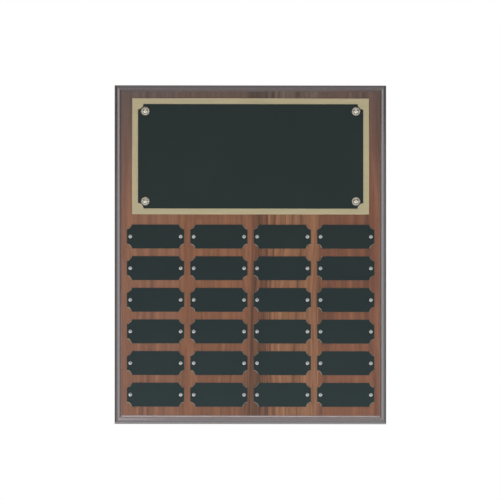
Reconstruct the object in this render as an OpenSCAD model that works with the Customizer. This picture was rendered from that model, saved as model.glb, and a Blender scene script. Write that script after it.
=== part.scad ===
// Wall plaque: a moulded walnut board with a two-layer header plate and a grid of small nameplates.
// Frame: origin at the centre of the back face, +Z up, the wall is at y = 0 and the front faces -Y.

/* [Board] */
// Width of the board
board_w = 304.8; // [296:0.1:330]
// Height of the board
board_h = 381; // [372:0.1:410]
// Thickness of the board
board_t = 19.05; // [17:0.05:25]
// Width of the moulded edge, measured across the front
moulding_w = 6.8; // [5:0.1:9]
// Square step between the front face and the moulding
moulding_step = 0.7; // [0.3:0.1:1.5]
// Radius of the hollow part of the moulding
cove_r = 3.9; // [3.8:0.1:5]
// Radius of the round part of the moulding
bead_r = 7.2; // [5.4:0.1:8]

/* [Header] */
// Width of the gold backing plate
backing_w = 265.8; // [250:0.1:270]
// Height of the gold backing plate
backing_h = 130.6; // [120:0.1:131]
// Height of the header's centre above the board's centre
header_z = 109.5; // [108:0.1:112]
// Gold border that shows round the black plate
header_border = 6.4; // [4:0.05:9]
// Radius of the hollow corners of the black plate
header_notch_r = 6; // [3:0.1:6.5]
// Distance from the black plate's edges to the centres of the rosettes
rosette_inset = 8.2; // [8:0.1:14]
// Diameter of a rosette
rosette_d = 10.2; // [8:0.1:11]

/* [Nameplates] */
// Number of rows
rows = 6; // [1:1:6]
// Number of columns
columns = 4; // [2:2:4]
// Width of a nameplate
nameplate_w = 64.2; // [56:0.1:66]
// Height of a nameplate
nameplate_h = 27; // [20:0.1:29]
// Radius of the hollow corners of a nameplate
nameplate_notch_r = 5.1; // [2:0.1:6]
// Distance between the centres of two columns
column_pitch = 71.2; // [70:0.1:71.6]
// Distance between the centres of two rows
row_pitch = 35.65; // [34:0.05:36]
// Height of the first row's centre above the board's centre
first_row_z = 19.1; // [18:0.1:20]
// Distance from a nameplate's ends to its pins
pin_inset = 3.8; // [3:0.1:6]

/* [Plates and pins] */
// Thickness of the backing plate
backing_t = 0.8; // [0.5:0.1:1.2]
// Thickness of the black plates
plate_t = 0.6; // [0.4:0.1:1]
// Diameter of a pin's round head
pin_head_d = 4.2; // [3:0.1:5]
// Height of a pin's round head
pin_head_h = 1.4; // [0.8:0.1:2]
// Diameter of a pin's shank
pin_shank_d = 1.3; // [1:0.1:1.6]
// Length of a pin below its head
pin_length = 9.5; // [6:0.1:12]

/* [Hanger] */
// Height of the keyhole's round end above the board's centre
hanger_z = 150; // [120:1:160]
// Width of the hanger plate
hanger_w = 38; // [36:0.1:38]
// Height of the hanger plate
hanger_h = 22; // [20:0.1:26]
// Thickness of the hanger plate
hanger_t = 1.2; // [1:0.1:2]
// Diameter of the keyhole's round end
keyhole_d = 9.5; // [8:0.1:11]
// Width of the keyhole's slot
keyhole_slot_w = 4.8; // [3:0.1:5]
// Height of the slot's end above the keyhole's round end
keyhole_rise = 9; // [6:0.1:9]
// Distance between the two hanger screws
hanger_screw_pitch = 28; // [26:0.1:30]
// Depth of the pocket behind the hanger plate
pocket_depth = 8; // [6:0.1:12]

/* [Hidden] */
$fn = 64;

// Cuts run past the surfaces they open by this much.
over = 1;

// Glue lines between the staves, from left to right.
stave_names = ["left", "centre_left", "centre_right", "right"];
stave_edges = [-board_w / 2, -81, 19.7, 76, board_w / 2];
walnut_colours = ["#8a6150", "#7c5745", "#8f6a52", "#77503f"];

// The moulding is a hollow arc that runs smoothly into a round arc.
// Where they meet, both slope by the same angle, which the moulding's width decides.
arc_steps = 12;
meet_sin = 1 - moulding_w / (cove_r + bead_r);
meet_angle = asin(meet_sin);
moulding_depth = moulding_step + (cove_r + bead_r) * cos(meet_angle);

// Front of the board, of the backing plate and of the two kinds of black plate.
front_y = -board_t;
backing_front_y = front_y - backing_t;
header_front_y = backing_front_y - plate_t;
nameplate_front_y = front_y - plate_t;

header_w = backing_w - 2 * header_border;
header_h = backing_h - 2 * header_border;
rosette_x = header_w / 2 - rosette_inset;
rosette_dz = header_h / 2 - rosette_inset;
rosette_h = 1.5;
rosette_crown_h = 0.9;
rosette_rim_h = 0.35;
rosette_petals = 12;
rosette_petal_d = 1.5;
rosette_front_y = header_front_y - rosette_h;

// Hanger screws: countersunk, slotted.
screw_d = 3;
screw_head_d = 5.6;
screw_head_h = 1.1;
screw_length = 12;
screw_slot_w = 0.9;
screw_slot_depth = 0.6;
screw_tip = 3;
pocket_margin = 2.5;

// Places of what repeats.
function column_x(c) = (c - (columns + 1) / 2) * column_pitch;
function row_z(r) = first_row_z - (r - 1) * row_pitch;
function nameplate_name(r, c) = str("nameplate_r", r, "c", c);
function pin_row_name(r) = str("nameplate_pins_row_", r);
function stave_name(i) = str("board_stave_", stave_names[i]);
function rosette_name(i) = str("header_rosette_", i);
rosette_places = [
    [-rosette_x, header_z + rosette_dz],
    [rosette_x, header_z + rosette_dz],
    [-rosette_x, header_z - rosette_dz],
    [rosette_x, header_z - rosette_dz]
];
pin_dx = nameplate_w / 2 - pin_inset;
function row_pin_places(r) = [for (c = [1:columns], side = [-1, 1]) [column_x(c) + side * pin_dx, row_z(r)]];
all_pin_places = [for (r = [1:rows]) each row_pin_places(r)];
screw_places = [for (side = [-1, 1]) [side * hanger_screw_pitch / 2, hanger_z + keyhole_rise / 2]];

// Puts a shape that is drawn on the XY plane and grows along +Z onto a plane that faces -Y.
module facing_front(y) {
    translate([0, y, 0])
        rotate([90, 0, 0])
            children();
}

// The same for a shape on the back of the board, growing towards -Y from the plane at y.
module drilled_from_back(x, z, y = 0) {
    translate([x, y, z])
        rotate([90, 0, 0])
            children();
}

// Points of the moulding on the section's right side, from the front face out to the edge.
// Each arc is walked by its tilt, which is 90 degrees where its wall is square to the front.
function moulding_points(half_width) = concat(
    [[half_width - moulding_w, board_t]],
    [
        for (k = [0:arc_steps])
            let (tilt = 90 - k * (90 - meet_angle) / arc_steps)
                [half_width - moulding_w + cove_r * (1 - sin(tilt)), board_t - moulding_step - cove_r * cos(tilt)]
    ],
    [
        for (k = [1:arc_steps])
            let (tilt = meet_angle + k * (90 - meet_angle) / arc_steps)
                [half_width - bead_r * (1 - sin(tilt)), board_t - moulding_depth + bead_r * cos(tilt)]
    ],
    [[half_width, 0]]
);

// Section through the board: x is the distance from its middle, y the height above its back.
module section(half_width) {
    right = moulding_points(half_width);
    last = len(right) - 1;
    left = [for (k = [0:last]) [-right[last - k][0], right[last - k][1]]];
    polygon(concat(left, right));
}

// The board in one piece: the crossing of a section along Z and a section along X, mitred at the corners.
module moulded_board() {
    intersection() {
        // section across the width, extruded upwards
        translate([0, 0, -board_h / 2 - over])
            linear_extrude(board_h + 2 * over)
                mirror([0, 1])
                    section(board_w / 2);
        // section across the height, extruded to both sides
        translate([-board_w / 2 - over, 0, 0])
            rotate([90, 0, 90])
                linear_extrude(board_w + 2 * over)
                    rotate(90)
                        section(board_h / 2);
    }
}

// Pilot holes for the pins at the given places, drilled from the front.
module pin_holes(places, from_y, depth) {
    for (p = places)
        translate([p[0], from_y, p[1]])
            rotate([-90, 0, 0])
                cylinder(d = pin_shank_d, h = depth);
}

// Outline of the hanger plate, a rectangle with round corners.
module hanger_outline() {
    corner_r = 3;
    dx = hanger_w / 2 - corner_r;
    dz = hanger_h / 2 - corner_r;
    square([hanger_w, 2 * dz], center = true);
    square([2 * dx, hanger_h], center = true);
    for (sx = [-1, 1], sz = [-1, 1])
        translate([sx * dx, sz * dz])
            circle(r = corner_r);
}

// Outline of the routed pocket in which the head of the wall screw slides up.
module pocket_outline() {
    pocket_w = keyhole_d + 2 * pocket_margin;
    translate([0, -keyhole_rise / 2])
        circle(d = pocket_w);
    translate([0, keyhole_rise / 2])
        circle(d = pocket_w);
    square([pocket_w, keyhole_rise], center = true);
}

// Everything that is cut out of the back of the board for the hanger.
module hanger_cuts() {
    drilled_from_back(0, hanger_z + keyhole_rise / 2, over)
        linear_extrude(hanger_t + over)
            hanger_outline();
    drilled_from_back(0, hanger_z + keyhole_rise / 2)
        linear_extrude(hanger_t + pocket_depth)
            pocket_outline();
    for (p = screw_places)
        drilled_from_back(p[0], p[1])
            cylinder(d = screw_d, h = screw_length);
}

// One stave of the board, between two glue lines.
module board_stave(i) {
    color(walnut_colours[i])
        difference() {
            intersection() {
                moulded_board();
                translate([stave_edges[i], -board_t - over, -board_h / 2 - over])
                    cube([stave_edges[i + 1] - stave_edges[i], board_t + 2 * over, board_h + 2 * over]);
            }
            pin_holes(stave_pins(i, all_pin_places), front_y - over, over + pin_length - plate_t);
            pin_holes(
                stave_pins(i, rosette_places),
                front_y - over,
                over + pin_length - rosette_h - plate_t - backing_t
            );
            if (stave_edges[i] < 0 && stave_edges[i + 1] > 0)
                hanger_cuts();
        }
}

// The places among a list that lie on stave i.
function stave_pins(i, places) = [
    for (p = places)
        if (p[0] > stave_edges[i] - pin_shank_d && p[0] < stave_edges[i + 1] + pin_shank_d)
            p
];

// Flat plate with a hollow quarter circle at each corner.
module notched_outline(w, h, notch_r) {
    difference() {
        square([w, h], center = true);
        for (sx = [-1, 1], sz = [-1, 1])
            translate([sx * w / 2, sz * h / 2])
                circle(r = notch_r);
    }
}

// Gold plate behind the black header plate.
module header_backing_plate() {
    color("#b6a67f")
        difference() {
            translate([0, 0, header_z])
                facing_front(front_y)
                    linear_extrude(backing_t)
                        square([backing_w, backing_h], center = true);
            pin_holes(rosette_places, backing_front_y - over, backing_t + 2 * over);
        }
}

// Black plate of the header.
module header_plate() {
    color("#2a3336")
        difference() {
            translate([0, 0, header_z])
                facing_front(backing_front_y)
                    linear_extrude(plate_t)
                        notched_outline(header_w, header_h, header_notch_r);
            pin_holes(rosette_places, header_front_y - over, plate_t + 2 * over);
        }
}

// Small black plate for one name.
module nameplate(r, c) {
    color("#30393c")
        difference() {
            translate([column_x(c), 0, row_z(r)])
                facing_front(front_y)
                    linear_extrude(plate_t)
                        notched_outline(nameplate_w, nameplate_h, nameplate_notch_r);
            pin_holes(row_pin_places(r), nameplate_front_y - over, plate_t + 2 * over);
        }
}

// Pin with a round head, its head's flat side on the plane at y.
module round_head_pin(p, y) {
    dome_r = (pow(pin_head_d / 2, 2) + pow(pin_head_h, 2)) / (2 * pin_head_h);
    translate([p[0], 0, p[1]])
        facing_front(y) {
            rotate_extrude()
                intersection() {
                    translate([0, pin_head_h - dome_r])
                        circle(r = dome_r);
                    square([pin_head_d / 2, pin_head_h]);
                }
            // the point is as long as the shank is wide
            translate([0, 0, pin_shank_d - pin_length])
                cylinder(d = pin_shank_d, h = pin_length - pin_shank_d);
            translate([0, 0, -pin_length])
                cylinder(d1 = 0, d2 = pin_shank_d, h = pin_shank_d);
        }
}

// The eight pins of one row of nameplates.
module nameplate_pins(r) {
    color("#b9bab7")
        for (p = row_pin_places(r))
            round_head_pin(p, nameplate_front_y);
}

// The pins through the four rosettes.
module rosette_pins() {
    color("#c9c3b6")
        for (p = rosette_places)
            round_head_pin(p, rosette_front_y);
}

// Stamped rosette: a disc with a rim, a ring of petals and a crown that the pin's head rests on.
module rosette(p) {
    crown_d = pin_head_d + 1;
    rim_w = 0.8;
    petal_ring_r = (rosette_d / 2 - rim_w + crown_d / 2) / 2;
    color("#a9a194")
        difference() {
            translate([p[0], 0, p[1]])
                facing_front(header_front_y) {
                    cylinder(d = rosette_d, h = rosette_rim_h);
                    cylinder(d = crown_d, h = rosette_h);
                    difference() {
                        cylinder(d = rosette_d, h = rosette_crown_h);
                        translate([0, 0, rosette_rim_h])
                            cylinder(d = rosette_d - 2 * rim_w, h = rosette_h);
                    }
                    intersection() {
                        cylinder(d = rosette_d, h = rosette_h);
                        for (k = [0:rosette_petals - 1])
                            rotate(k * 360 / rosette_petals)
                                translate([petal_ring_r, 0, rosette_rim_h])
                                    sphere(d = rosette_petal_d);
                    }
                }
            pin_holes([p], rosette_front_y - over, rosette_h + 2 * over);
        }
}

// Steel plate let into the back, with a keyhole for the wall screw and two countersunk holes.
module keyhole_hanger() {
    color("#9a9b9c")
        difference() {
            drilled_from_back(0, hanger_z + keyhole_rise / 2)
                linear_extrude(hanger_t)
                    hanger_outline();
            drilled_from_back(0, hanger_z, over)
                cylinder(d = keyhole_d, h = hanger_t + 2 * over);
            drilled_from_back(0, hanger_z + keyhole_rise, over)
                cylinder(d = keyhole_slot_w, h = hanger_t + 2 * over);
            translate([-keyhole_slot_w / 2, -hanger_t - over, hanger_z])
                cube([keyhole_slot_w, hanger_t + 2 * over, keyhole_rise]);
            for (p = screw_places)
                drilled_from_back(p[0], p[1]) {
                    cylinder(d1 = screw_head_d, d2 = screw_d, h = screw_head_h);
                    cylinder(d = screw_d, h = hanger_t + over);
                }
        }
}

// Countersunk slotted screws that hold the hanger plate.
module hanger_screws() {
    color("#a8a9a6")
        for (p = screw_places)
            drilled_from_back(p[0], p[1])
                difference() {
                    union() {
                        cylinder(d1 = screw_head_d, d2 = screw_d, h = screw_head_h);
                        cylinder(d = screw_d, h = screw_length - screw_tip);
                        translate([0, 0, screw_length - screw_tip])
                            cylinder(d1 = screw_d, d2 = 0, h = screw_tip);
                    }
                    translate([-screw_head_d / 2, -screw_slot_w / 2, -over])
                        cube([screw_head_d, screw_slot_w, screw_slot_depth + over]);
                }
}

for (i = [0:3])
    board_stave(i);
header_backing_plate();
header_plate();
for (i = [1:4])
    rosette(rosette_places[i - 1]);
rosette_pins();
for (r = [1:rows], c = [1:columns])
    nameplate(r, c);
for (r = [1:rows])
    nameplate_pins(r);
keyhole_hanger();
hanger_screws();
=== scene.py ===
"""Wall plaque: the looks of its walnut board, plates, rosettes and pins.

Lengths are in metres. Names that end in _MM, and all lengths in the materials, are in
millimetres.
"""

import math
import random
from collections import Counter

import bmesh
import bpy
from mathutils import Matrix, Vector


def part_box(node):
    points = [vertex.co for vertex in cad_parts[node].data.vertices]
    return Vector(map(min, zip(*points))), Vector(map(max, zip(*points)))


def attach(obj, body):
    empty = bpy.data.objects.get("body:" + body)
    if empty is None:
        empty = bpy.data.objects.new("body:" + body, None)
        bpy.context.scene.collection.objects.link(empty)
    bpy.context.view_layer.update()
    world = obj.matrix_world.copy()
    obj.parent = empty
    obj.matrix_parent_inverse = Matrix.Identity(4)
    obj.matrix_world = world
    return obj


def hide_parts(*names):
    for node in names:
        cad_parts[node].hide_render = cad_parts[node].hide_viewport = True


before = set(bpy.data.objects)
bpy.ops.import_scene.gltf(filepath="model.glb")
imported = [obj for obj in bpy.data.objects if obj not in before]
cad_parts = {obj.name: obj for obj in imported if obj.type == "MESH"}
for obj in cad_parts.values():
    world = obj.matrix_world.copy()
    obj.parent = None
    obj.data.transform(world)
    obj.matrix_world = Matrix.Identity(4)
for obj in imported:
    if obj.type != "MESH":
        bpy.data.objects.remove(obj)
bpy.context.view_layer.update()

MM = 0.001
STAVES = [f"board_stave_{side}" for side in ("left", "centre_left", "centre_right", "right")]
ROWS, COLUMNS = 6, 4
ROSETTES = [f"header_rosette_{i}" for i in range(1, 5)]
BOARD_LO = Vector(map(min, *(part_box(s)[0] for s in STAVES)))
BOARD_HI = Vector(map(max, *(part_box(s)[1] for s in STAVES)))

# ---------------------------------------------------------------- camera

VIEW_AZIMUTH = math.radians(-0.8)
VIEW_ELEVATION = math.radians(-5.0)
VIEW_DISTANCE = 1.6
PICTURE_WIDTH = 0.5614
# how far the board's middle lies to the right of the picture's centre and above it
PICTURE_OFFSET = (0.0004, -0.0057)


def make_camera():
    """Parallel view from the front, a little from below and from the left."""
    data = bpy.data.cameras.new("camera")
    data.type = "ORTHO"
    data.ortho_scale = PICTURE_WIDTH
    camera = bpy.data.objects.new("camera", data)
    bpy.context.scene.collection.objects.link(camera)
    back = Vector((
        math.sin(VIEW_AZIMUTH) * math.cos(VIEW_ELEVATION),
        -math.cos(VIEW_AZIMUTH) * math.cos(VIEW_ELEVATION),
        math.sin(VIEW_ELEVATION),
    ))
    turn = (-back).to_track_quat("-Z", "Y")
    aim = turn @ Vector((-PICTURE_OFFSET[0], -PICTURE_OFFSET[1], 0))
    camera.rotation_mode = "QUATERNION"
    camera.rotation_quaternion = turn
    camera.location = aim + back * VIEW_DISTANCE
    bpy.context.scene.camera = camera


# ---------------------------------------------------------------- shader graphs


class Graph:
    """Short calls for building a node tree. Every value may be a number, a tuple or a socket."""

    def __init__(self, tree):
        self.tree = tree

    def node(self, kind, inputs=(), **settings):
        made = self.tree.nodes.new(kind)
        for name, value in settings.items():
            setattr(made, name, value)
        for key, value in dict(inputs).items():
            self.put(made.inputs[key], value)
        return made

    def put(self, socket, value):
        if isinstance(value, bpy.types.NodeSocket):
            self.tree.links.new(value, socket)
        else:
            socket.default_value = value

    def math(self, operation, *values):
        return self.node("ShaderNodeMath", enumerate(values), operation=operation).outputs[0]

    def vector(self, operation, *values):
        return self.node("ShaderNodeVectorMath", enumerate(values), operation=operation).outputs[0]

    def scaled(self, vector, x, y, z):
        """The vector with each part multiplied by its own number."""
        return self.vector("MULTIPLY", vector, (x, y, z))

    def parts(self, vector):
        return self.node("ShaderNodeSeparateXYZ", {"Vector": vector}).outputs

    def noise(self, vector, scale=1.0, detail=2.0, roughness=0.5):
        inputs = {"Vector": vector, "Scale": scale, "Detail": detail, "Roughness": roughness}
        return self.node("ShaderNodeTexNoise", inputs).outputs[0]

    def noise_line(self, value, detail, roughness):
        """Noise that depends on one number only."""
        inputs = {"W": value, "Scale": 1.0, "Detail": detail, "Roughness": roughness}
        return self.node("ShaderNodeTexNoise", inputs, noise_dimensions="1D").outputs[0]

    def spread(self, value, low, high, to_low=0.0, to_high=1.0, smooth=True):
        """Maps low..high onto to_low..to_high and holds the ends."""
        names = ("Value", "From Min", "From Max", "To Min", "To Max")
        inputs = zip(names, (value, low, high, to_low, to_high))
        kind = "SMOOTHSTEP" if smooth else "LINEAR"
        return self.node("ShaderNodeMapRange", inputs, interpolation_type=kind).outputs[0]

    def mix(self, factor, first, second, blend="MIX"):
        made = self.node("ShaderNodeMix", data_type="RGBA", blend_type=blend)
        # the colour mode's own sockets of the node: the factor, and the colours A and B
        for index, value in ((0, factor), (6, first), (7, second)):
            self.put(made.inputs[index], (*value, 1.0) if isinstance(value, tuple) else value)
        return made.outputs[2]

    def ramp(self, value, stops):
        """Colour by value; stops are (place, (r, g, b))."""
        stops = list(stops)
        made = self.node("ShaderNodeValToRGB", {"Fac": value})
        elements = made.color_ramp.elements
        while len(elements) < len(stops):
            elements.new(0.5)
        for element, (place, colour) in zip(elements, stops):
            element.position = place
            element.color = (*colour, 1.0)
        return made.outputs[0]

    def place_mm(self):
        """Place in the row frame, in millimetres."""
        place = self.node("ShaderNodeTexCoord").outputs["Object"]
        return self.scaled(place, 1 / MM, 1 / MM, 1 / MM)

    def weighted(self, value, weight, added):
        """The value times its weight, plus something."""
        return self.math("ADD", self.math("MULTIPLY", value, weight), added)

    def bump(self, height_mm):
        return self.node("ShaderNodeBump", {"Height": height_mm, "Distance": MM}).outputs[0]


def material(name, **shader_values):
    """A new material with one Principled shader. Returns it, its graph and the shader."""
    made = bpy.data.materials.new(name)
    made.use_nodes = True
    graph = Graph(made.node_tree)
    shader = made.node_tree.nodes["Principled BSDF"]
    for key, value in shader_values.items():
        shader.inputs[key.replace("_", " ")].default_value = value
    return made, graph, shader


# ---------------------------------------------------------------- materials

MOULDING_W_MM = 6.8
EDGE_BLACK = (0.050, 0.043, 0.047)
EDGE_BROWN = (0.070, 0.054, 0.052)
HOLLOW_BROWN = (0.105, 0.060, 0.052)
# pale colour of the painted highlight along the face's lower arris
ARRIS_HIGHLIGHT_PALE = (0.32, 0.28, 0.28)

# the wood's tone is growth rings, streaks and fibres, each with its own share
RINGS_PART, STREAKS_PART, FIBRES_PART = 0.52, 0.33, 0.15
RING_PITCH_MM = 5.0
# how far the rings wander slowly and ripple quickly along the board
RING_WANDER_MM, RING_RIPPLE_MM = 26.0, 4.0
# the tones of the dark, the middle and the light colour
TONE_STOPS = (0.36, 0.50, 0.64)

# noise cells per millimetre along x, y and z: an upright pattern has few of them along z
WANDER_CELLS = (1 / 60, 1 / 60, 1 / 260)
RIPPLE_CELLS = (1 / 14, 1 / 14, 1 / 120)
STREAK_CELLS = (0.45, 0.45, 0.010)
FIBRE_CELLS = (2.6, 2.6, 0.05)
PORE_CELLS = (1.7, 1.7, 0.055)
STAIN_CELLS = (0.3, 0.3, 0.03)
PATCH_CELLS = (0.06, 1.0, 1.0)

# painted shade with a cool painted sheen: what the colour is multiplied by at the board's upper
# end, and between which heights that grows in
UPPER_END_PAINTED_SHADE = (0.50, 0.80, 1.22)
UPPER_END_MM = (32, 185)

# the stain turns from black to brown between here and the moulding's inner line
STAIN_TURNS_MM = 3.5
# past that line: how far the face darkens towards the stain's brown, and where the thicker lacquer
# ends
DARKENING_REACH_MM = 3.0
LACQUER_ENDS_MM = (0.7, 1.0)
# heights above the board's foot between which the painted highlight along the lower arris begins,
# and between which it ends
ARRIS_HIGHLIGHT_BEGINS_MM, ARRIS_HIGHLIGHT_ENDS_MM = (6.65, 6.85), (7.5, 7.9)

# y parts of the normal between which the back begins, and between which a flat side ends
BACK_NORMAL = (0.6, 0.8)
SIDE_NORMAL = (0.05, 0.15)

# noise levels between which a pore begins, how strongly it shows, and its part of the dark colour
PORE_BEGINS = (0.62, 0.72)
PORE_STRENGTH = PORE_DARKNESS = 0.45
# how ragged and how soft the line between stain and face is
RAGGED_MM, SOFT_MM = 0.3, 0.15
# how strongly the face is darkened at the moulding's inner line, and how brown the moulding's
# hollow is
EDGE_DARKENING, HOLLOW_SHARE = 0.55, 0.8

FACE_COAT, MOULDING_COAT = 0.10, 0.90
# roughness of the face, and what its fibres, the flat sides and the moulding add to it
SATIN, FIBRE_ROUGHNESS, SIDE_ROUGHNESS, MOULDING_ROUGHNESS = 0.30, 0.10, 0.38, -0.16
# what flat sides take off the coat, and the moulding's lacquer off the relief
SIDE_DULLING, LACQUER_FILLING = 0.95, 0.7
FIBRE_RELIEF_MM, PORE_RELIEF_MM = 0.010, 0.02


def grain(g, moved, x, y, pith):
    """The wood's tone, and its fibres alone."""
    wander = g.noise(g.scaled(moved, *WANDER_CELLS))
    ripple = g.noise(g.scaled(moved, *RIPPLE_CELLS))
    # growth rings follow the distance from the pith
    across = g.math("POWER", g.math("SUBTRACT", x, pith[0]), 2.0)
    deep = g.math("POWER", g.math("SUBTRACT", y, pith[1]), 2.0)
    radius = g.math("SQRT", g.math("ADD", across, deep))
    radius = g.weighted(wander, RING_WANDER_MM, radius)
    radius = g.weighted(ripple, RING_RIPPLE_MM, radius)
    rings = g.noise_line(g.math("DIVIDE", radius, RING_PITCH_MM), detail=4.0, roughness=0.62)
    streaks = g.noise(g.scaled(moved, *STREAK_CELLS), detail=3.0, roughness=0.6)
    fibres = g.noise(g.scaled(moved, *FIBRE_CELLS), detail=3.0, roughness=0.6)
    tone = g.weighted(streaks, STREAKS_PART, g.math("MULTIPLY", rings, RINGS_PART))
    return g.weighted(fibres, FIBRES_PART, tone), fibres


def edge_mask(g, place, inwards, not_back):
    """1 on the moulding and the sides, 0 on the face and the back."""
    line = g.weighted(g.noise(place, scale=0.4, detail=3.0), RAGGED_MM, inwards)
    outside = g.spread(line, MOULDING_W_MM - SOFT_MM, MOULDING_W_MM + SOFT_MM, 1.0, 0.0)
    return g.math("MULTIPLY", outside, not_back)


def arris_highlight_mask(g, moved, x_in, z, not_back):
    """Patches of painted highlight along the face's lower arris, standing for light from below
    caught there.
    """
    from_foot = g.math("ADD", BOARD_HI.z / MM, z)
    begins = g.spread(from_foot, *ARRIS_HIGHLIGHT_BEGINS_MM)
    ends = g.spread(from_foot, *ARRIS_HIGHLIGHT_ENDS_MM, 1.0, 0.0)
    between_sides = g.spread(x_in, MOULDING_W_MM, MOULDING_W_MM + 1.0)
    patches = g.noise(g.scaled(moved, *PATCH_CELLS), detail=3.0)
    arris_highlight = g.math("MULTIPLY", g.math("MULTIPLY", begins, ends), between_sides)
    arris_highlight = g.math("MULTIPLY", arris_highlight, g.spread(patches, 0.35, 0.6, 0.6, 0.95))
    return g.math("MULTIPLY", arris_highlight, not_back)


def walnut(name, pith, shift, dark, middle, light, drifts=()):
    """Lacquered walnut with upright grain, stained dark along the moulding.

    pith is where the log's heart lies in x and y, and shift is how far the pattern is moved.
    Each of drifts is (axis, start, end, change): from start to end along x or z, the tone
    changes by that much.
    """
    made, g, shader = material(name, IOR=1.5, Coat_Roughness=0.12)
    place = g.place_mm()
    moved = g.vector("ADD", place, shift)
    x, y, z = g.parts(place)
    tone, fibres = grain(g, moved, x, y, pith)
    for axis, start, end, change in drifts:
        along = {"x": x, "z": z}[axis]
        tone = g.math("ADD", tone, g.spread(along, start, end, 0.0, change))
    wood = g.ramp(tone, zip(TONE_STOPS, (dark, middle, light)))
    # painted shade with a cool painted sheen, growing in towards the board's upper end
    painted_shade_top = g.spread(z, *UPPER_END_MM, smooth=False)
    wood = g.mix(painted_shade_top, wood, UPPER_END_PAINTED_SHADE, blend="MULTIPLY")

    # pores: short dark upright dashes
    pore = g.spread(g.noise(g.scaled(moved, *PORE_CELLS), detail=1.0), *PORE_BEGINS)
    pore_colour = tuple(PORE_DARKNESS * part for part in dark)
    wood = g.mix(g.math("MULTIPLY", pore, PORE_STRENGTH), wood, pore_colour)

    # how far a place is from the board's nearest side or end, and which way it faces
    x_in = g.math("SUBTRACT", BOARD_HI.x / MM, g.math("ABSOLUTE", x))
    z_in = g.math("SUBTRACT", BOARD_HI.z / MM, g.math("ABSOLUTE", z))
    inwards = g.math("MINIMUM", x_in, z_in)
    normal_y = g.parts(g.node("ShaderNodeNewGeometry").outputs["Normal"])[1]
    not_back = g.spread(normal_y, *BACK_NORMAL, 1.0, 0.0)
    flat_side = g.spread(g.math("ABSOLUTE", normal_y), *SIDE_NORMAL, 1.0, 0.0)

    # colours: the face darkened towards the moulding, the moulding's stain, and a painted highlight
    # along the lower arris
    # the face turns darker towards the moulding's inner line
    darkening_ends = MOULDING_W_MM + DARKENING_REACH_MM
    darkening = g.spread(inwards, MOULDING_W_MM, darkening_ends, EDGE_DARKENING, 0.0)
    wood = g.mix(g.math("MULTIPLY", darkening, not_back), wood, EDGE_BROWN)
    edge = edge_mask(g, place, inwards, not_back)
    stain = g.mix(g.noise(g.scaled(moved, *STAIN_CELLS), detail=3.0), EDGE_BLACK, EDGE_BROWN)
    hollow = g.spread(inwards, STAIN_TURNS_MM, MOULDING_W_MM, 0.0, HOLLOW_SHARE)
    stain = g.mix(hollow, stain, HOLLOW_BROWN)
    # painted highlight in patches along the face's lower arris
    arris_highlight = arris_highlight_mask(g, moved, x_in, z, not_back)
    g.put(shader.inputs["Base Color"], g.mix(arris_highlight, g.mix(edge, wood, stain), ARRIS_HIGHLIGHT_PALE))

    # gloss: satin on the face, a glossy coat on the moulding, and dull flat sides
    lacquer_ends = (MOULDING_W_MM + past for past in LACQUER_ENDS_MM)
    arris = g.spread(inwards, *lacquer_ends, 1.0, 0.0)
    lacquered = g.math("MAXIMUM", edge, g.math("MULTIPLY", arris, not_back))
    glossy = g.math("MULTIPLY", lacquered, g.weighted(flat_side, -SIDE_DULLING, 1.0))
    g.put(shader.inputs["Coat Weight"], g.spread(glossy, 0.0, 1.0, FACE_COAT, MOULDING_COAT))
    satin = g.weighted(flat_side, SIDE_ROUGHNESS, g.weighted(fibres, FIBRE_ROUGHNESS, SATIN))
    g.put(shader.inputs["Roughness"], g.weighted(edge, MOULDING_ROUGHNESS, satin))

    # relief: fibres stand up, pores lie deep, and on the moulding the lacquer fills most of it
    relief = g.weighted(pore, -PORE_RELIEF_MM, g.math("MULTIPLY", fibres, FIBRE_RELIEF_MM))
    relief = g.math("MULTIPLY", relief, g.weighted(edge, -LACQUER_FILLING, 1.0))
    g.put(shader.inputs["Normal"], g.bump(relief))
    return made


def brushed_gold():
    """Satin gold sheet with fine level brush marks."""
    made, g, shader = material("satin_gold", Metallic=1.0)
    place = g.place_mm()
    marks = g.noise(g.scaled(place, 0.03, 2.0, 3.0), detail=3.0, roughness=0.6)
    clouds = g.noise(place, scale=0.02)
    colour = g.ramp(marks, [(0.3, (0.465, 0.390, 0.240)), (0.7, (0.555, 0.465, 0.293))])
    dulled = g.spread(clouds, 0.3, 0.7, 0.0, 0.25)
    g.put(shader.inputs["Base Color"], g.mix(dulled, colour, (0.445, 0.385, 0.281)))
    g.put(shader.inputs["Roughness"], g.spread(marks, 0.2, 0.8, 0.50, 0.60))
    g.put(shader.inputs["Normal"], g.bump(g.math("MULTIPLY", marks, 0.004)))
    return made


def black_lacquer():
    """Satin black engraving lacquer, very slightly blue-green, with faint wipe marks."""
    made, g, shader = material("black_lacquer", IOR=1.5)
    place = g.place_mm()
    clouds = g.noise(place, scale=0.03, detail=3.0)
    speckle = g.noise(place, scale=2.0)
    colour = g.mix(clouds, (0.0091, 0.0149, 0.0144), (0.0104, 0.0165, 0.0160))
    g.put(shader.inputs["Base Color"], colour)
    g.put(shader.inputs["Roughness"], g.weighted(clouds, 0.04, g.weighted(speckle, 0.06, 0.27)))
    g.put(shader.inputs["Normal"], g.bump(g.math("MULTIPLY", speckle, 0.002)))
    return made


def metal(name, low, high, rough, grain_mm=0.4, relief=0.002):
    """Plain metal whose colour and gloss vary a little."""
    made, g, shader = material(name, Metallic=1.0)
    place = g.place_mm()
    speckle = g.noise(place, scale=1 / grain_mm, detail=3.0)
    g.put(shader.inputs["Base Color"], g.mix(speckle, low, high))
    g.put(shader.inputs["Roughness"], g.spread(speckle, 0.2, 0.8, rough * 0.8, rough * 1.2))
    g.put(shader.inputs["Normal"], g.bump(g.math("MULTIPLY", speckle, relief)))
    return made


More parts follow.
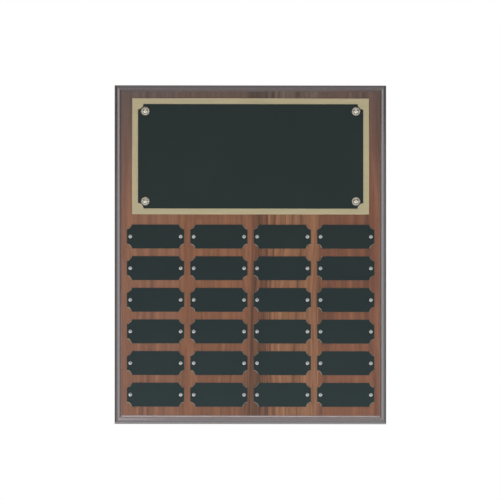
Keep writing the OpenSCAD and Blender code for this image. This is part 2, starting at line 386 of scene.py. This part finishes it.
def stamped_metal(front_y, height):
    """Warm silver that is darker low in the stamping.

    front_y is the face of the plate that the rosette lies on, and height is the rosette's.
    """
    made, g, shader = material("rosette_silver", Metallic=1.0)
    place = g.place_mm()
    lift = g.math("SUBTRACT", front_y, g.parts(place)[1])
    raised = g.spread(lift, 0.25 * height, 0.75 * height)
    speckle = g.noise(place, scale=1.5, detail=3.0)
    bright = g.mix(speckle, (0.46, 0.42, 0.355), (0.54, 0.50, 0.43))
    g.put(shader.inputs["Base Color"], g.mix(raised, (0.18, 0.155, 0.12), bright))
    g.put(shader.inputs["Roughness"], g.spread(raised, 0.0, 1.0, 0.45, 0.24))
    g.put(shader.inputs["Normal"], g.bump(g.math("MULTIPLY", speckle, 0.006)))
    return made


def pale_floor():
    """Matt pale floor, with a faint glow in place of the light from white studio walls."""
    made, g, shader = material("pale_floor", Roughness=0.9, Emission_Strength=0.10)
    shader.inputs["Emission Color"].default_value = (1.0, 1.0, 1.0, 1.0)
    cloud = g.noise(g.place_mm(), scale=0.002)
    g.put(shader.inputs["Base Color"], g.mix(cloud, (0.89, 0.89, 0.89), (0.92, 0.92, 0.92)))
    return made


# ---------------------------------------------------------------- pieces

# how a plate's faces use its two materials
FACE, CUT = 0, 1

# the small round along a plate's front edge, and how far in and back its middle lies
PLATE_BEVEL = 0.16 * MM
ROUND_MIDDLE = 0.3 * PLATE_BEVEL
HEADER_NOTCH_R = 6.0 * MM
NAMEPLATE_NOTCH_R = 5.1 * MM
NOTCH_STEPS = 8

HOLE_R = 0.65 * MM
HOLE_STEPS = 16
PIN_HEAD_R = 2.1 * MM
PIN_HEAD_STEPS = 28
DOME_STEPS = 8
PIN_TILT = math.radians(2.5)
# the other pins take their row's number
ROSETTE_PIN_SEED = 7
# part of a pin head's height that is its straight side
RIM_PART = 0.30

PETALS = 12
ROSETTE_STEPS = 96
# (part of the radius, part of the height), from the hole over the crown and the petals to the rim
ROSETTE_SHAPE = [
    (0.40, 0.92), (0.46, 0.90), (0.50, 0.72), (0.53, 0.42), (0.56, 0.36), (0.60, 0.52),
    (0.66, 0.70), (0.74, 0.74), (0.81, 0.62), (0.86, 0.40), (0.885, 0.30), (0.91, 0.40),
    (0.94, 0.52), (0.97, 0.50), (0.99, 0.36), (1.00, 0.14), (1.00, 0.0),
]
# flutes between the petals: the radius where they are deepest, how wide they are, and their depth
FLUTE_AT, FLUTE_WIDTH, FLUTE_DEPTH = 0.72, 0.10, 0.42
# scallops of the rim: how far in they reach from it, and their depth
SCALLOP_WIDTH, SCALLOP_DEPTH = 0.06, 0.035

# how wide the edges of a CAD node are eased
ARRIS_EASE = 0.8 * MM
HANGER_EASE = 0.15 * MM
SCREW_EASE = 0.08 * MM
EASE_SEGMENTS = 3
# faces that lie this nearly in one plane are made one
FLAT_WITHIN = math.radians(0.5)

# how near the arris an edge must lie to be part of it
EDGE_MATCH = 0.05 * MM
# points closer than this are one
SAME_POINT = 0.0005 * MM
# the solids of a node lie further apart than this
SOLID_GAP = 2 * MM


def add_piece(name, bm, materials, node, smooth_angle, flat_face=False):
    """Turns a bmesh into a piece that stands for a CAD node and rides on the board."""
    bmesh.ops.recalc_face_normals(bm, faces=bm.faces)
    for face in bm.faces:
        face.smooth = face.material_index != FACE or not flat_face
    for edge in bm.edges:
        if len(edge.link_faces) == 2:
            edge.smooth = edge.calc_face_angle(0) < math.radians(smooth_angle)
    mesh = bpy.data.meshes.new(name)
    bm.to_mesh(mesh)
    bm.free()
    for each in materials:
        mesh.materials.append(each)
    piece = bpy.data.objects.new(name, mesh)
    bpy.context.scene.collection.objects.link(piece)
    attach(piece, "root")
    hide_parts(node)


def notched_outline(half_w, half_h, notch_r, inset):
    """Points of a rectangle with hollow corners, pulled in by inset. Anticlockwise in x and z."""
    if notch_r == 0:
        w, h = half_w - inset, half_h - inset
        return [(w, h), (-w, h), (-w, -h), (w, -h)]
    reach = notch_r + inset
    start = math.asin(inset / reach)
    arc = [start + (math.pi / 2 - 2 * start) * k / NOTCH_STEPS for k in range(NOTCH_STEPS + 1)]
    corner = [(half_w - reach * math.cos(a), half_h - reach * math.sin(a)) for a in arc]
    points = []
    # from the right side round the top right corner, and on anticlockwise
    for sx, sz in ((1, 1), (-1, 1), (-1, -1), (1, -1)):
        turned = [(sx * x, sz * z) for x, z in corner]
        points += turned[::-1] if sx * sz > 0 else turned
    return points


def ring(bm, points, y):
    """New points of the mesh at the given places in x and z."""
    return [bm.verts.new((x, y, z)) for x, z in points]


def bridge(bm, first, second, material_index):
    """Quads between two rings that have the same number of points."""
    count = len(first)
    for i in range(count):
        j = (i + 1) % count
        face = bm.faces.new((first[i], first[j], second[j], second[i]))
        face.material_index = material_index


def cap(bm, loops, material_index):
    """Flat face inside the first loop, open inside the others."""
    edges = []
    for loop in loops:
        for i, vert in enumerate(loop):
            edges.append(bm.edges.get((vert, loop[(i + 1) % len(loop)])))
    filled = bmesh.ops.triangle_fill(bm, edges=edges, use_beauty=True)
    for face in filled["geom"]:
        if isinstance(face, bmesh.types.BMFace):
            face.material_index = material_index


def hole_outline(x, z):
    """Points round a pin hole."""
    angles = [2 * math.pi * k / HOLE_STEPS for k in range(HOLE_STEPS)]
    return [(x + HOLE_R * math.cos(a), z + HOLE_R * math.sin(a)) for a in angles]


def add_plate(name, node, notch_r, holes, face, cut):
    """Sheet metal plate: coated face, sheared edge with a small round, and its pin holes."""
    lo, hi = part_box(node)
    mid_x, mid_z = middle_xz(node)
    half_w, half_h = (hi.x - lo.x) / 2, (hi.z - lo.z) / 2
    # how far in, and how far back from the front, each ring lies, from the back to the face
    levels = [
        (0.0, hi.y - lo.y), (0.0, PLATE_BEVEL), (ROUND_MIDDLE, ROUND_MIDDLE), (PLATE_BEVEL, 0.0),
    ]
    bm = bmesh.new()
    rims = []
    for inset, back in levels:
        outline = notched_outline(half_w, half_h, notch_r, inset)
        rims.append(ring(bm, [(mid_x + x, mid_z + z) for x, z in outline], lo.y + back))
    for low, high in zip(rims, rims[1:]):
        bridge(bm, low, high, CUT)
    # the coating is drawn over the sheared sides, and only the punched corners show bare metal
    for rim_face in bm.faces:
        if notch_r and rim_face.calc_center_median().y < lo.y + PLATE_BEVEL:
            sheared = max(edge.calc_length() for edge in rim_face.edges) > 1.5 * notch_r
            rim_face.material_index = FACE if sheared else CUT
    hole_rims = []
    for x, z in holes:
        outline = hole_outline(x, z)
        back_rim, front_rim = ring(bm, outline, hi.y), ring(bm, outline, lo.y)
        bridge(bm, back_rim, front_rim, CUT)
        hole_rims.append((back_rim, front_rim))
    cap(bm, [rims[0]] + [h[0] for h in hole_rims], CUT)
    cap(bm, [rims[-1]] + [h[1] for h in hole_rims], FACE)
    add_piece(name, bm, [face, cut], node, smooth_angle=50, flat_face=True)


def revolve(bm, profile, steps, wave=None):
    """Turned surface about the y axis.

    profile is a list of (radius, y), where a radius of 0 closes the surface. wave gives how far a
    point moves outwards and along y, from its radius and angle.
    """
    rings = []
    for r, y in profile:
        if r == 0:
            rings.append([bm.verts.new((0, y, 0))])
            continue
        verts = []
        for k in range(steps):
            angle = 2 * math.pi * k / steps
            dr, dy = wave(r, angle) if wave else (0, 0)
            point = ((r + dr) * math.cos(angle), y + dy, (r + dr) * math.sin(angle))
            verts.append(bm.verts.new(point))
        rings.append(verts)
    for low, high in zip(rings, rings[1:]):
        for k in range(steps):
            n = (k + 1) % steps
            if len(low) == 1:
                corners = (low[0], high[n], high[k])
            elif len(high) == 1:
                corners = (low[k], low[n], high[0])
            else:
                corners = (low[k], low[n], high[n], high[k])
            bm.faces.new(corners)


def pin_profile(head_h, length):
    """Low domed head with a straight side, and the shank with its point.

    The head's underside is at y = 0. The head grows to -y and the shank to +y.
    """
    dome_h = head_h - RIM_PART * head_h
    dome_r = (PIN_HEAD_R**2 + dome_h**2) / (2 * dome_h)
    half_angle = math.asin(PIN_HEAD_R / dome_r)
    dome = []
    for k in range(1, DOME_STEPS + 1):
        a = half_angle * k / DOME_STEPS
        dome.append((dome_r * math.sin(a), -head_h + dome_r * (1 - math.cos(a))))
    point_h = 2 * HOLE_R
    shank = [(PIN_HEAD_R, 0), (HOLE_R, 0), (HOLE_R, length - point_h), (0, length)]
    return [(0, -head_h)] + dome + shank


def add_pins(name, node, centres, base_y, chosen, seed):
    """The pins of one node, each standing a little off square as driven by hand."""
    lo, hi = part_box(node)
    profile = pin_profile(base_y - lo.y, hi.y - base_y)
    draw = random.Random(seed)
    bm = bmesh.new()
    for x, z in centres:
        before = set(bm.verts)
        revolve(bm, profile, PIN_HEAD_STEPS)
        new = [v for v in bm.verts if v not in before]
        tilt = Matrix.Rotation(draw.uniform(-PIN_TILT, PIN_TILT), 4, "X")
        tilt = tilt @ Matrix.Rotation(draw.uniform(-PIN_TILT, PIN_TILT), 4, "Z")
        bmesh.ops.transform(bm, matrix=Matrix.Translation((x, base_y, z)) @ tilt, verts=new)
    add_piece(name, bm, [chosen], node, smooth_angle=40)


def add_rosette(node, chosen):
    """Stamped rosette: a fluted ring of petals between a raised crown and a rolled rim."""
    lo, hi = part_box(node)
    mid_x, mid_z = middle_xz(node)
    outer = (hi.x - lo.x) / 2
    height = hi.y - lo.y

    def petals(r, angle):
        """How far a point moves for the flutes between the petals and the rim's scallops."""
        part = r / outer
        flute = math.exp(-(((part - FLUTE_AT) / FLUTE_WIDTH) ** 2))
        scallop = math.exp(-(((part - 1.0) / SCALLOP_WIDTH) ** 2))
        valley = 1 - abs(math.cos(PETALS * angle / 2))
        return -SCALLOP_DEPTH * outer * scallop * valley, FLUTE_DEPTH * height * flute * valley

    top = [(part * outer, -up * height) for part, up in ROSETTE_SHAPE]
    crown_y = top[0][1]
    profile = [(HOLE_R, 0), (HOLE_R, crown_y)] + top + [(HOLE_R, 0)]
    bm = bmesh.new()
    revolve(bm, profile, ROSETTE_STEPS, wave=petals)
    bmesh.ops.remove_doubles(bm, verts=bm.verts, dist=SAME_POINT)
    bmesh.ops.translate(bm, verts=bm.verts, vec=(mid_x, hi.y, mid_z))
    add_piece(f"{node}_stamping", bm, [chosen], node, smooth_angle=50)


def middle_xz(node):
    """Middle of a node as seen from the front."""
    lo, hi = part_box(node)
    return (lo.x + hi.x) / 2, (lo.z + hi.z) / 2


def middles_along_x(node):
    """Middle of each solid of a node whose solids stand apart along x."""
    xs = sorted(v.co.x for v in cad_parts[node].data.vertices)
    groups = [[xs[0]]]
    for x in xs[1:]:
        if x - groups[-1][-1] > SOLID_GAP:
            groups.append([])
        groups[-1].append(x)
    return [(group[0] + group[-1]) / 2 for group in groups]


def is_arris(first, second):
    """Whether an edge, given by its two ends, lies where the face meets the moulding's step."""
    middle = (first + second) / 2
    on_front = max(abs(first.y - BOARD_LO.y), abs(second.y - BOARD_LO.y)) < EDGE_MATCH
    on_side = abs(abs(middle.x) - (BOARD_HI.x - MOULDING_W_MM * MM)) < EDGE_MATCH
    on_end = abs(abs(middle.z) - (BOARD_HI.z - MOULDING_W_MM * MM)) < EDGE_MATCH
    return on_front and (on_side or on_end)


def finish_cad_node(node, chosen, ease, chooses_edge=None):
    """Gives a CAD node its material and eases its sharp edges, or those chooses_edge picks."""
    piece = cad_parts[node]
    mesh = piece.data
    mesh.materials.clear()
    mesh.materials.append(chosen)
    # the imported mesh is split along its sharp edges: mark those as sharp, and then weld it
    faces_at = Counter(key for face in mesh.polygons for key in face.edge_keys)
    sharp = [faces_at[edge.key] == 1 for edge in mesh.edges]
    if mesh.has_custom_normals:
        mesh.attributes.remove(mesh.attributes["custom_normal"])
    for face in mesh.polygons:
        face.use_smooth = True
    weights = mesh.attributes.new("bevel_weight_edge", "FLOAT", "EDGE")
    for edge, is_sharp in zip(mesh.edges, sharp):
        edge.use_edge_sharp = is_sharp
        picked = is_sharp
        if chooses_edge:
            picked = is_sharp and chooses_edge(*(mesh.vertices[i].co for i in edge.vertices))
        weights.data[edge.index].value = 1.0 if picked else 0.0
    weld = piece.modifiers.new("weld", "WELD")
    weld.merge_threshold = SAME_POINT
    # flat faces in one piece, so that the eased edges end square on their neighbours
    flatten = piece.modifiers.new("whole_faces", "DECIMATE")
    flatten.decimate_type = "DISSOLVE"
    flatten.angle_limit = FLAT_WITHIN
    flatten.delimit = {"SHARP"}
    bevel = piece.modifiers.new("eased_edges", "BEVEL")
    bevel.width = ease
    bevel.segments = EASE_SEGMENTS
    bevel.limit_method = "WEIGHT"
    bevel.harden_normals = True


# ---------------------------------------------------------------- lights and surroundings

WHITE = (1.0, 1.0, 1.0)
# name, place, what it is turned towards, width, height, luminance and colour
SOFTBOXES = [
    ("key_left", (-0.80, -0.60, 0.00), (0, 0, 0), 0.75, 0.75, 2.5, WHITE),
    ("key_right", (0.80, -0.60, 0.00), (0, 0, 0), 0.75, 0.75, 2.45, WHITE),
    ("low_front", (0, -0.72, -0.58), (0, 0, -0.10), 0.90, 0.35, 0.90, (0.97, 0.96, 1.0)),
    ("low_left", (-0.33, -0.28, -0.50), (-0.14, 0, -0.19), 0.45, 0.35, 2.0, (0.98, 0.92, 1.0)),
    ("table", (0, -0.21, -0.60), (0, -0.12, 0), 1.0, 0.40, 0.62, WHITE),
    ("blue_card", (0, -1.10, -0.30), (0, 0, -0.15), 1.40, 0.35, 1.0, (0.45, 0.88, 1.0)),
    ("top_front", (0, -0.65, 0.80), (0, 0, 0.15), 0.90, 0.35, 2.75, WHITE),
    ("far_left", (-1.00, -0.05, -0.22), (-0.15, 0, -0.05), 0.50, 0.80, 0.8, (1.0, 0.90, 0.87)),
    ("far_right", (1.00, -0.05, -0.15), (0.15, 0, 0), 0.50, 0.75, 1.1, (1.0, 0.95, 0.93)),
    ("far_top", (0, -0.06, 1.00), (0, 0, 0.19), 0.90, 0.50, 0.38, WHITE),
    ("floor_glow", (0, 0.45, -0.55), (0, 0, -0.19), 0.90, 0.30, 0.4, WHITE),
]
FLOOR_WASH = ("floor_wash", (0, 1.60, 1.60), (0, 1.20, -0.6), 3.0, 2.4, 0.8, WHITE)

FLOOR_DROP = 0.45
FLOOR_SIDE = 6.0


def softbox(name, place, target, width, height, luminance, colour, in_reflections=True):
    """Rectangular light of a given luminance, where 1 is the white background."""
    data = bpy.data.lights.new(name, "AREA")
    data.shape = "RECTANGLE"
    data.size, data.size_y = width, height
    data.energy = luminance * math.pi * width * height
    data.color = colour
    light = bpy.data.objects.new(name, data)
    light.location = place
    light.rotation_mode = "QUATERNION"
    light.rotation_quaternion = (Vector(target) - Vector(place)).to_track_quat("-Z", "Y")
    light.visible_camera = False
    light.visible_glossy = in_reflections
    bpy.context.scene.collection.objects.link(light)


def white_tent():
    """White where the camera sees it, and a dimmer tent with dark flanks as a light."""
    world = bpy.data.worlds.new("white_tent")
    bpy.context.scene.world = world
    world.use_nodes = True
    g = Graph(world.node_tree)
    background = world.node_tree.nodes["Background"]
    direction = g.node("ShaderNodeTexCoord").outputs["Generated"]
    x, y, _ = g.parts(direction)
    # dark to both sides, dark straight in front of the board, and dimmer behind it
    flank = g.spread(g.math("ABSOLUTE", x), 0.65, 0.95, 1.0, 0.15)
    front = g.spread(y, -0.995, -0.80, 0.25, 1.0)
    behind = g.spread(y, 0.0, 0.5, 0.45, 0.25)
    level = g.math("MULTIPLY", g.math("MULTIPLY", flank, front), behind)
    seen = g.node("ShaderNodeLightPath").outputs["Is Camera Ray"]
    g.put(background.inputs["Strength"], g.math("MAXIMUM", level, seen))
    background.inputs["Color"].default_value = (*WHITE, 1.0)


def add_floor():
    """Pale floor well below the hanging plaque."""
    bm = bmesh.new()
    bmesh.ops.create_grid(bm, x_segments=1, y_segments=1, size=FLOOR_SIDE / 2)
    mesh = bpy.data.meshes.new("floor")
    bm.to_mesh(mesh)
    bm.free()
    mesh.materials.append(pale_floor())
    floor = bpy.data.objects.new("floor", mesh)
    floor.location = (0, 0, BOARD_LO.z - FLOOR_DROP)
    bpy.context.scene.collection.objects.link(floor)


# ---------------------------------------------------------------- build

make_camera()
bpy.context.scene.view_settings.view_transform = "Standard"

# each stave comes from its own part of a log
WALNUTS = {
    "board_stave_left": walnut(
        "walnut_left", (-190, 70), (0, 0, 0),
        (0.102, 0.044, 0.026), (0.162, 0.069, 0.040), (0.214, 0.094, 0.053),
        drifts=[("z", -150, -20, 0.06)],
    ),
    "board_stave_centre_left": walnut(
        "walnut_centre_left", (-52, 60), (310, 40, 90),
        (0.066, 0.029, 0.016), (0.150, 0.060, 0.031), (0.208, 0.086, 0.043),
        drifts=[("x", -8, 10, -0.10), ("z", -150, -20, 0.06)],
    ),
    "board_stave_centre_right": walnut(
        "walnut_centre_right", (110, 60), (620, 10, 700),
        (0.085, 0.036, 0.019), (0.193, 0.084, 0.042), (0.275, 0.125, 0.063),
    ),
    "board_stave_right": walnut(
        "walnut_right", (70, 80), (950, 90, 1300),
        (0.108, 0.042, 0.024), (0.166, 0.063, 0.033), (0.220, 0.088, 0.047),
        drifts=[
            ("z", -90, -40, -0.06), ("z", 30, 75, 0.08), ("z", 85, 115, -0.03),
            ("z", 120, 170, 0.05),
        ],
    ),
}
for stave, wood in WALNUTS.items():
    finish_cad_node(stave, wood, ARRIS_EASE, is_arris)

gold = brushed_gold()
black = black_lacquer()
bare = metal("bare_edge", (0.42, 0.40, 0.35), (0.52, 0.50, 0.44), 0.35)
gold_edge = metal("gold_edge", (0.55, 0.44, 0.26), (0.65, 0.54, 0.34), 0.30)
nickel = metal("nickel", (0.27, 0.28, 0.27), (0.34, 0.35, 0.34), 0.38)
polished = metal("polished_nickel", (0.40, 0.37, 0.31), (0.48, 0.445, 0.38), 0.24)
zinc = metal(
    "zinc_plate", (0.40, 0.41, 0.42), (0.52, 0.53, 0.54), 0.38, grain_mm=1.5, relief=0.006,
)

holes = [middle_xz(rosette) for rosette in ROSETTES]
add_plate("gold_backing_sheet", "header_backing_plate", 0, holes, gold, gold_edge)
add_plate("header_sheet", "header_plate", HEADER_NOTCH_R, holes, black, bare)

header_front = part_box("header_plate")[0].y
rosette_front, rosette_back = (corner.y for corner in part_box(ROSETTES[0]))
silver = stamped_metal(header_front / MM, (rosette_back - rosette_front) / MM)
for rosette in ROSETTES:
    add_rosette(rosette, silver)
add_pins("rosette_pins_turned", "rosette_pins", holes, rosette_front, polished, ROSETTE_PIN_SEED)

for row in range(1, ROWS + 1):
    pin_node = f"nameplate_pins_row_{row}"
    first_plate = f"nameplate_r{row}c1"
    row_z = middle_xz(first_plate)[1]
    holes = [(x, row_z) for x in middles_along_x(pin_node)]
    for column in range(1, COLUMNS + 1):
        node = f"nameplate_r{row}c{column}"
        pair = holes[2 * column - 2 : 2 * column]
        add_plate(f"{node}_sheet", node, NAMEPLATE_NOTCH_R, pair, black, bare)
    add_pins(f"{pin_node}_turned", pin_node, holes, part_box(first_plate)[0].y, nickel, row)

finish_cad_node("keyhole_hanger", zinc, HANGER_EASE)
finish_cad_node("hanger_screws", zinc, SCREW_EASE)

add_floor()
white_tent()
for lamp in SOFTBOXES:
    softbox(*lamp)
softbox(*FLOOR_WASH, in_reflections=False)
